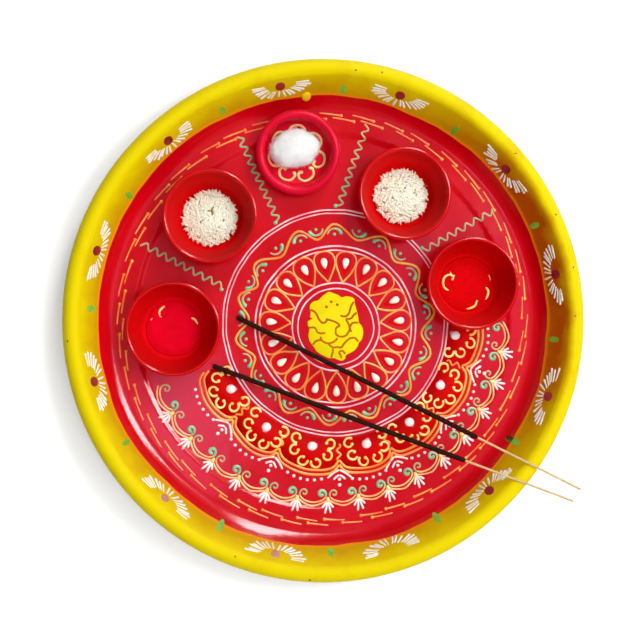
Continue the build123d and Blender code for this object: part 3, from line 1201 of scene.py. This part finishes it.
def dome_level(distance, edge, crown):
    """Height of a round heap at a distance from its middle."""
    rise = crown - edge
    curve = (HEAP_RADIUS**2 + rise**2) / (2 * rise)
    return crown - curve + math.sqrt(curve**2 - min(distance, HEAP_RADIUS) ** 2)


def polar_heap(top, edge_at, rings=14, spokes=72):
    """A closed low heap with a bowl-shaped foot and a top whose height is given at each place."""
    heap = Shell()
    turns = [360 * spoke / spokes for spoke in range(spokes)]
    heap.vertices.append((0, 0, top(0, 0)))
    for ring in range(1, rings + 1):
        for turn in turns:
            reach = edge_at(turn) * ring / rings
            level = top(reach, turn) if ring < rings else BOWL.at(reach)[0] + HEAP_EDGE_GAP
            heap.vertices.append((*polar(reach, turn), level))
    for turn in turns:
        reach = edge_at(turn) * HEAP_FOOT_SHARE
        heap.vertices.append((*polar(reach, turn), BOWL.at(reach)[0] + HEAP_FOOT_GAP))
    last = 1 + (rings - 1) * spokes
    foot = last + spokes
    walls = []
    for spoke in range(spokes):
        beside = (spoke + 1) % spokes
        heap.faces.append((0, 1 + spoke, 1 + beside))
        for here in range(1, last, spokes):
            heap.faces.append((here + spoke, here + spokes + spoke, here + spokes + beside, here + beside))
        walls.append((last + spoke, foot + spoke, foot + beside, last + beside))
    heap.faces += walls
    heap.faces.append(tuple(range(foot, foot + spokes)))
    return heap


# Rice, whose grains lie on a core that fills the gaps between them
RICE_EDGE = 1.2
RICE_CROWN = 6.0
RICE_CORE_RADIUS = 15.0
RICE_CORE_UNEVEN = 0.8
RICE_CORE_SINK = 1.5
RICE_CORE_LUMPS = 0.35
RICE_GRAINS = 700
RICE_RADIUS = 15.6
RICE_END_RADIUS = 17.2
RICE_WALL_GAP = 0.9
GRAIN_TURN = 137.5
GRAIN_LENGTHS = (3.2, 4.8)
GRAIN_WIDTHS = (1.2, 1.5)
GRAIN_SINKS = (-1.0, 0.1)
GRAIN_SIDES = 6

# A grain's outline: shares of its length from its middle, and of its width
GRAIN_SHARES = ((-0.38, 0.62), (-0.16, 0.96), (0.1, 1.0), (0.32, 0.72))


def grain_rings(centre, along, length, width):
    """A rice grain: a closed spindle about its own line."""
    along = along.normalized()
    side = along.cross(Vector((0.31, 0.17, 0.93))).normalized()
    rise = side.cross(along)
    rings = [[centre - along * (length / 2)]]
    for place, wide in GRAIN_SHARES:
        reach = wide * width / 2
        middle = centre + along * (place * length)
        rings.append([middle + side * (reach * x) + rise * (reach * y) for x, y in circle(GRAIN_SIDES)])
    return [*rings, [centre + along * (length / 2)]]


def rice(side, seed, white, shadow):
    rng = random.Random(seed)
    body = f"{side}_rice"
    seat = bowl_seat(f"rice_bowl_{side}")

    def core_edge(turn):
        place = polar(3.0, turn).to_3d() + Vector((0, 0, seed))
        return RICE_CORE_RADIUS + RICE_CORE_UNEVEN * noise.noise(place)

    def core_top(reach, turn):
        lump = RICE_CORE_LUMPS * noise.noise(polar(reach, turn).to_3d() * 0.6)
        return HEAP_FOOT + dome_level(reach, RICE_EDGE, RICE_CROWN) - RICE_CORE_SINK + lump

    core = polar_heap(core_top, core_edge)
    core.piece(f"rice_core_{side}", body, "rice", shadow, seat, replaced=f"rice_{side}")
    grains = Shell()
    for index in range(RICE_GRAINS):
        reach = RICE_RADIUS * math.sqrt((index + 0.5) / RICE_GRAINS)
        turn = index * GRAIN_TURN + rng.uniform(-12, 12)
        length = rng.uniform(*GRAIN_LENGTHS)
        half = polar(length / 2, rng.uniform(0, 360))
        ends = []
        for way in (-1, 1):
            end = polar(reach, turn) + way * half
            level = HEAP_FOOT + dome_level(end.length, RICE_EDGE, RICE_CROWN) + rng.uniform(*GRAIN_SINKS)
            if end.length > RICE_END_RADIUS:
                end *= RICE_END_RADIUS / end.length
            ends.append(Vector((end.x, end.y, max(level, BOWL.at(end.length)[0] + RICE_WALL_GAP))))
        start, end = ends
        grains.tube(grain_rings((start + end) / 2, end - start, length, rng.uniform(*GRAIN_WIDTHS)))
    grains.piece(f"rice_grains_{side}", body, "rice", white, seat)


def rice_finish(name, pale, deep):
    """Raw rice: each grain has its own tone, chalky in places, and a few are brown."""
    finish = Finish(name)
    own = finish.node("NewGeometry").outputs["Random Per Island"]
    chalk = finish.noise(420.0, 2.0)
    tone = finish.maths("ADD", finish.maths("MULTIPLY", own, 0.7), finish.maths("MULTIPLY", chalk, 0.3))
    grain = finish.mix(tone, deep, pale)
    brown = finish.mix(finish.maths("GREATER_THAN", own, 0.98), grain, (0.30, 0.17, 0.05))
    finish.set(Base_Color=brown, Roughness=finish.ramp(chalk, WIDE_SPAN, (0.4, 0.6)))
    finish.set(Subsurface_Weight=0.25, Subsurface_Radius=metres(1.2, 1.0, 0.6), Subsurface_Scale=1.0)
    finish.bump(finish.noise(1500.0, 2.0), 0.06, 0.5)
    return finish.material


# Kumkum powder
KUMKUM_EDGE = 0.6
KUMKUM_CROWN = 1.4
KUMKUM_RADIUS = 16.2
KUMKUM_UNEVEN = 0.5
KUMKUM_RUN_OUT = 3.0
KUMKUM_THIN = 0.12
KUMKUM_THIN_RUN = 1.5
KUMKUM_LEAST = 0.08
KUMKUM_GAP = 0.05
DUSTING_WIDTH = 7.5 * MM
DUSTED_RED = (0.60, 0.001, 0.002)


def kumkum(side, slot, material, seed, thin_places):
    """Powder that lies thin in places, given as angle, spread and inner radius, where the flower shows."""
    def thickness(reach, turn):
        spot = polar(reach, turn).to_3d() + Vector((0, 0, seed))
        level = dome_level(reach, KUMKUM_EDGE, KUMKUM_CROWN) * (0.8 + 0.35 * noise.noise(spot * 0.16))
        level += 0.10 * noise.noise(spot * 0.7) + 0.05 * noise.noise(spot * 1.9)
        for angle, spread, inner in thin_places:
            off = abs((turn - angle + 180) % 360 - 180) / spread
            if off < 1 and reach > inner:
                share = (1 - off**2) * min(1, (reach - inner) / KUMKUM_THIN_RUN)
                level += share * (KUMKUM_THIN - level)
        level *= min(1.0, (edge(turn) - reach) / KUMKUM_RUN_OUT)
        return BOWL.at(reach)[0] + KUMKUM_GAP + max(level, KUMKUM_LEAST)

    def edge(turn):
        spot = polar(2.2, turn).to_3d() + Vector((0, 0, seed * 1.7))
        return KUMKUM_RADIUS + KUMKUM_UNEVEN * noise.noise(spot)

    heap = polar_heap(thickness, edge, rings=30, spokes=120)
    seat = bowl_seat(f"kumkum_bowl_{side}")
    heap.piece(f"kumkum_powder_{side}", f"{side}_kumkum", slot, material, seat, replaced=f"kumkum_{side}")


def powder(name, light, deep, bowl, solid_radius):
    """Fine matt powder, a little lumpy, that thins out over the enamel towards its edge."""
    finish = Finish(name)
    lumps = finish.noise(180.0)
    heap = finish.blend(lumps, WIDE_SPAN, deep, light)
    solid = solid_radius * MM
    colour = finish.blend(finish.drift(bowl), (solid, solid + DUSTING_WIDTH), heap, DUSTED_RED)
    finish.set(Base_Color=colour, Roughness=0.95, Specular_IOR_Level=0.02)
    finish.bump(finish.maths("ADD", lumps, finish.noise(2200.0)), 0.2, 0.8)
    return finish.material


# Cotton wool in the lamp cup
COTTON_HALF_LENGTH = 14.2
COTTON_HALF_WIDTH = 11.9
COTTON_HEIGHT = 14.5
COTTON_SHIFT_OUT = 2.4
COTTON_SHIFT_SIDE = 1.4
COTTON_GAP = 0.3
COTTON_LENGTH_SHARE = 1.04
COTTON_WIDTH_SHARE = 0.91
COTTON_FOOT_SHARE = 0.46
COTTON_ROWS = 40
COTTON_SPOKES = 72

# Lumps of the wad: how large each kind is, as a share of the wad, and its scale
COTTON_LUMPS = ((0.09, 0.13), (0.05, 0.34), (0.02, 0.9))

# Crease on top of the wad
CREASE_X = 0.9
CREASE_Y = 5.0
CREASE_SLANT = 0.06
CREASE_HALF_WIDTH = 0.5
CREASE_HALF_LENGTH = 2.6
CREASE_SHARE = 0.10

# Loose fibres
FIBRE_COUNT = 1600
FIBRE_STEPS = 4
FIBRE_SPANS = (0.06, 0.2)
FIBRE_STANDS = (0.2, 1.2)
FIBRE_SINK = 0.1
FIBRE_RADIUS = 0.06


def cotton_seat():
    shift = Matrix.Translation((COTTON_SHIFT_OUT, COTTON_SHIFT_SIDE, CUP_SHEET + COTTON_GAP))
    return cup_seat() @ shift @ Matrix.Rotation(math.radians(-90), 4, "Z")


def cotton_skin(direction):
    """A point of the wad's surface in a direction from its middle."""
    x, y, z = direction
    spot = Vector((x * COTTON_HALF_LENGTH, y * COTTON_HALF_WIDTH, z * COTTON_HEIGHT / 2))
    spot.x *= COTTON_LENGTH_SHARE
    spot.y *= COTTON_WIDTH_SHARE
    size = 0.98 + sum(share * noise.noise(spot * scale) for share, scale in COTTON_LUMPS)
    if z > 0:
        across = (spot.x - CREASE_X + CREASE_SLANT * spot.y) / CREASE_HALF_WIDTH
        along = (spot.y - CREASE_Y) / CREASE_HALF_LENGTH
        size -= CREASE_SHARE * math.exp(-(across**2) - along**2)
    spot *= size
    return Vector((spot.x, spot.y, max(spot.z, -COTTON_HEIGHT * COTTON_FOOT_SHARE) + COTTON_HEIGHT / 2))


def cotton_wad():
    rings = [[cotton_skin((0, 0, 1))]]
    for row in range(1, COTTON_ROWS):
        lean = math.pi * row / COTTON_ROWS
        around, height = math.sin(lean), math.cos(lean)
        rings.append([cotton_skin((around * x, around * y, height)) for x, y in circle(COTTON_SPOKES)])
    rings.append([cotton_skin((0, 0, -1))])
    wad = Shell()
    wad.tube(rings)
    return wad


def cotton_fibres():
    """Loose fibres that lie along the wad and stand off it a little."""
    rng = random.Random(3)
    fibres = Shell()
    for _ in range(FIBRE_COUNT):
        turn = rng.uniform(0, 2 * math.pi)
        height = rng.uniform(-0.35, 1.0)
        around = math.sqrt(1 - height**2)
        heading = Vector((around * math.cos(turn), around * math.sin(turn), height))
        drift = Vector((rng.gauss(0, 1), rng.gauss(0, 1), rng.gauss(0, 1)))
        drift = (drift - heading * drift.dot(heading)).normalized() * rng.uniform(*FIBRE_SPANS)
        stand = rng.uniform(*FIBRE_STANDS)
        side = drift.cross(heading).normalized()
        rings = []
        for share in shares(FIBRE_STEPS):
            base = cotton_skin((heading + drift * share).normalized())
            out = Vector((base.x, base.y, base.z - COTTON_HEIGHT / 2)).normalized()
            lift = stand * math.sin(math.pi * share * rng.uniform(0.85, 1.0)) - FIBRE_SINK
            radius = FIBRE_RADIUS * (1.15 - 0.9 * abs(2 * share - 1))
            spot = base + out * lift
            rings.append([spot + side * (radius * x) + out * (radius * y) for x, y in circle(3)])
        fibres.tube(rings)
    return fibres


def cotton():
    wool = cotton_finish()
    place = ("cotton", "cotton_wool", wool, cotton_seat())
    wad = cotton_wad().piece("cotton_wad", *place, replaced="cotton_puff")
    cotton_fibres().piece("cotton_fibres", *place)


def cotton_finish():
    finish = Finish("cotton_wool")
    colour = finish.mix(finish.noise(320.0, 4.0), (0.93, 0.93, 0.93), (0.98, 0.98, 0.98))
    finish.set(Base_Color=colour, Roughness=1.0, Specular_IOR_Level=0.05, Sheen_Weight=0.3)
    finish.set(Subsurface_Weight=0.35, Subsurface_Radius=metres(4.0, 4.0, 4.0), Subsurface_Scale=1.0)
    finish.bump(finish.noise(700.0, 4.0), 0.4, 0.7)
    return finish.material


# Incense sticks

CORE_RADIUS = 0.65
CORE_FIT = 0.05
PASTE_RADIUS = 1.5
PASTE_LENGTH = 156.0
PASTE_SIDES = 14
PASTE_RINGS = 320
PASTE_ROUND = 0.7
PASTE_ROUND_SHARE = 0.45
PASTE_THIN_SHARE = 0.18
PASTE_THIN_START_SHARE = 0.985
STICK_TIPS = {"upper": (-51.5, 2.1), "lower": (-65.36, -26.34)}
STICK_CROSSINGS = {"upper": -35.2, "lower": -39.8}


def stick_seat(level):
    """The stick's own frame: its tip at the origin and its line along +Z."""
    tip = Vector((*STICK_TIPS[level], TRAY_SHEET + PASTE_RADIUS + SEAT_GAP))
    crest = polar(RIM_RADIUS - TRAY_LIP_RADIUS, STICK_CROSSINGS[level])
    crossing = Vector((crest.x, crest.y, TRAY_HEIGHT + CORE_RADIUS + SEAT_GAP))
    return Matrix.Translation(tip) @ (crossing - tip).to_track_quat("Z", "Y").to_matrix().to_4x4()


def paste_radius(share):
    """The radius of the paste, rounded at both ends and a little thinner where the core comes out."""
    end = min(share * PASTE_LENGTH, (1 - share) * PASTE_LENGTH)
    rounded = PASTE_ROUND_SHARE * max(0.0, 1 - end / PASTE_ROUND) ** 2
    thinned = max(0.0, (share - PASTE_THIN_START_SHARE) / (1 - PASTE_THIN_START_SHARE))
    return PASTE_RADIUS * (1 - rounded - PASTE_THIN_SHARE * thinned)


def paste(level, seed, material):
    """Rolled incense paste: a rough sleeve with the core's bore through it."""
    bore = CORE_RADIUS + CORE_FIT
    profile = [(paste_radius(share), share * PASTE_LENGTH) for share in shares(PASTE_RINGS)]
    rings = []
    for reach, along in ((bore, 0.0), *profile, (bore, PASTE_LENGTH)):
        ring = []
        for x, y in circle(PASTE_SIDES):
            spot = Vector((x, y, 0)) * reach
            if reach > bore:
                grit = Vector((spot.x, spot.y, along + seed * 300))
                spot *= 0.95 + 0.05 * noise.noise(grit * 0.45) + 0.045 * noise.noise(grit * 1.7)
            ring.append((spot.x, spot.y, along))
        rings.append(ring)
    sleeve = Shell()
    sleeve.tube(rings, closed=True)
    seat = stick_seat(level)
    names = (f"paste_sleeve_{level}", f"{level}_stick", "incense_paste")
    sleeve.piece(*names, material, seat, replaced=f"incense_paste_{level}")


def paste_finish():
    finish = Finish("incense_brown")
    grit = finish.noise(900.0, 4.0)
    colour = finish.blend(grit, (0.32, 0.7), (0.010, 0.003, 0.002), (0.050, 0.013, 0.006))
    finish.set(Base_Color=colour, Roughness=0.9, Specular_IOR_Level=0.05)
    finish.bump(grit, 0.4, 0.8)
    return finish.material


def bamboo_finish():
    finish = Finish("bamboo_split")
    along = finish.stretched(Rotation=(0, 0, math.radians(25)), Scale=(40.0, 1500.0, 1500.0))
    streak = finish.noise(1.0, place=along)
    colour = finish.blend(streak, WIDE_SPAN, (0.60, 0.36, 0.12), (0.80, 0.60, 0.30))
    finish.set(Base_Color=colour, Roughness=finish.ramp(streak, WIDE_SPAN, (0.55, 0.75)))
    finish.bump(streak, 0.12, 0.6)
    return finish.material


# The tray's paint
mandala_ground()
mandala_rings()
mandala_drops()
vine()
scallops()
chevrons()
swag_border()
ledge_dashes()
zigzags()
daisies()
leaves()
rim_specks()

# Finish of the nodes that keep their shape
bowl_enamel = bowl_finish("bowl_enamel")
bamboo = bamboo_finish()
node_finishes = {
    "thali_plate": tray_enamel(),
    "diya_cup": enamel("cup_enamel", (0.76, 0.003, 0.034), (0.69, 0.002, 0.022), 0.3, 0.28, RED_SHINE),
    "kumkum_bowl_left": bowl_finish("dusted_enamel", (0.76, 0.001, 0.014), "kumkum_bowl_left"),
    "kumkum_bowl_right": bowl_enamel,
    "rice_bowl_left": bowl_enamel,
    "rice_bowl_right": bowl_enamel,
    "incense_core_upper": bamboo,
    "incense_core_lower": bamboo,
}
for node_name, material in node_finishes.items():
    frame["nodes"][node_name].data.materials.clear()
    frame["nodes"][node_name].data.materials.append(material)

# The flowers' start angles and the radii of their petals' feet
for side, start_angle, petal_foot in (("left", 10, 8.4), ("right", 20, 8.8)):
    place = (f"{side}_kumkum", "bowl_paint", bowl_seat(f"kumkum_bowl_{side}"))
    bowl_flower(f"{side}_bowl_flower", "cream", BOWL, *place, start_angle, petal_foot)
cup_place = ("lamp", "cup_paint", cup_seat())
bowl_flower("lamp_cup_flower", "butter", CUP, *cup_place, -13.5 - CUP_ANGLE, 11.2)

emblem_film()
emblem_lines()
rice_white = rice_finish("rice_white", (0.97, 0.985, 0.79), (0.95, 0.945, 0.69))
rice_shadow = rice_finish("rice_shadow", (0.95, 0.90, 0.64), (0.90, 0.82, 0.54))
rice("left", 4, rice_white, rice_shadow)
rice("right", 9, rice_white, rice_shadow)
kumkum_pink = powder("kumkum_pink", (0.80, 0.001, 0.022), (0.74, 0.001, 0.014), "kumkum_bowl_left", 14.5)
kumkum_red = powder("kumkum_red", (0.72, 0.001, 0.004), (0.65, 0.001, 0.003), "kumkum_bowl_right", 10.5)
kumkum("left", "kumkum_pink", kumkum_pink, 2, ((126, 18, 8.0), (22, 16, 10.5)))
kumkum("right", "kumkum_red", kumkum_red, 7, ((170, 40, 8.0), (-70, 22, 10.0), (-20, 18, 10.0)))
cotton()
incense_brown = paste_finish()
for stick_number, stick_level in enumerate(STICK_TIPS):
    paste(stick_level, stick_number, incense_brown)

# Stage: a white floor, soft lamps and the camera above the tray's left half

CAMERA_PLACE = (-70.0, 0.0, 740.0)
CAMERA_AIM = (-2.7, 0.4, 0.0)
LENS = 71.11
SENSOR = 36.0
GROUND_HALF = 4000.0
GROUND_LEVEL = -0.3
GROUND_GLOW = 0.3
SKY_STRENGTH = 0.08


def camera():
    data = bpy.data.cameras.new("camera")
    data.lens = LENS
    data.sensor_width = SENSOR
    eye = bpy.data.objects.new("camera", data)
    bpy.context.scene.collection.objects.link(eye)
    place = Vector(CAMERA_PLACE) * MM
    back = (place - Vector(CAMERA_AIM) * MM).normalized()
    right = Vector((0, 1, 0)).cross(back).normalized()
    up = back.cross(right)
    turn = Matrix((right, up, back)).transposed().to_4x4()
    eye.matrix_world = Matrix.Translation(place) @ turn
    bpy.context.scene.camera = eye


def lamp(name, place, size, radiance, tint=(1.0, 1.0, 1.0), diffuse=True, glossy=True):
    """A rectangular soft lamp of a given brightness, placed and sized in metres and aimed at the tray."""
    data = bpy.data.lights.new(name, "AREA")
    data.shape = "RECTANGLE"
    data.size, data.size_y = size
    data.energy = 4 * radiance * size[0] * size[1]
    data.color = tint
    source = bpy.data.objects.new(name, data)
    source.location = place
    source.rotation_euler = (-Vector(place)).to_track_quat("-Z", "Y").to_euler()
    source.visible_diffuse = diffuse
    source.visible_glossy = glossy
    bpy.context.scene.collection.objects.link(source)


def floor_finish():
    """White that glows a little to the eye and in reflections, but lights nothing else."""
    finish = Finish("floor_white")
    rays = finish.node("LightPath").outputs
    mirrored = finish.maths("MAXIMUM", rays["Is Glossy Ray"], rays["Is Transmission Ray"])
    seen = finish.maths("MAXIMUM", rays["Is Camera Ray"], mirrored)
    finish.set(Base_Color=(0.88, 0.88, 0.88), Roughness=0.9, Specular_IOR_Level=0.1)
    finish.set(Emission_Color=(1, 1, 1), Emission_Strength=finish.maths("MULTIPLY", seen, GROUND_GLOW))
    return finish.material


def floor():
    mesh = bpy.data.meshes.new("floor")
    half, level = metres(GROUND_HALF, GROUND_LEVEL)
    corners = [(-half, -half, level), (half, -half, level), (half, half, level), (-half, half, level)]
    mesh.from_pydata(corners, [], [(0, 1, 2, 3)])
    ground = bpy.data.objects.new("floor", mesh)
    bpy.context.scene.collection.objects.link(ground)
    mesh.materials.append(floor_finish())


def world():
    sky = bpy.data.worlds.new("studio")
    sky.use_nodes = True
    background = sky.node_tree.nodes["Background"].inputs
    background["Color"].default_value = (1.0, 1.0, 1.0, 1)
    background["Strength"].default_value = SKY_STRENGTH
    bpy.context.scene.world = sky


camera()
floor()
world()
lamp("window_back", (0.58, 1.20, 1.20), (0.45, 0.80), 8.5, glossy=False)
lamp("window_right", (0.75, 0.27, 1.20), (0.25, 0.40), 11.0, glossy=False)
lamp("pane_back", (0.53, 1.25, 0.85), (0.30, 1.75), 22.0, diffuse=False)
lamp("pane_right", (0.90, 0.40, 1.06), (0.25, 1.00), 24.0, diffuse=False)
lamp("tent_top", (0.40, -0.05, 1.55), (1.4, 1.4), 1.7, glossy=False)
lamp("tent_front", (0.40, -1.35, 1.30), (1.4, 1.0), 1.8, glossy=False)
lamp("haze_left", (-0.10, -0.17, 1.20), (0.15, 0.20), 3.0, (1.0, 0.5, 1.0), diffuse=False)
lamp("haze_right", (0.40, 0.02, 1.20), (0.34, 0.44), 0.6, (1.0, 0.4, 1.0), diffuse=False)
lamp("haze_wide", (0.0, 0.12, 1.20), (0.9, 0.9), 0.14, (1.0, 0.3, 1.0), diffuse=False)
bpy.context.scene.view_settings.view_transform = "Standard"
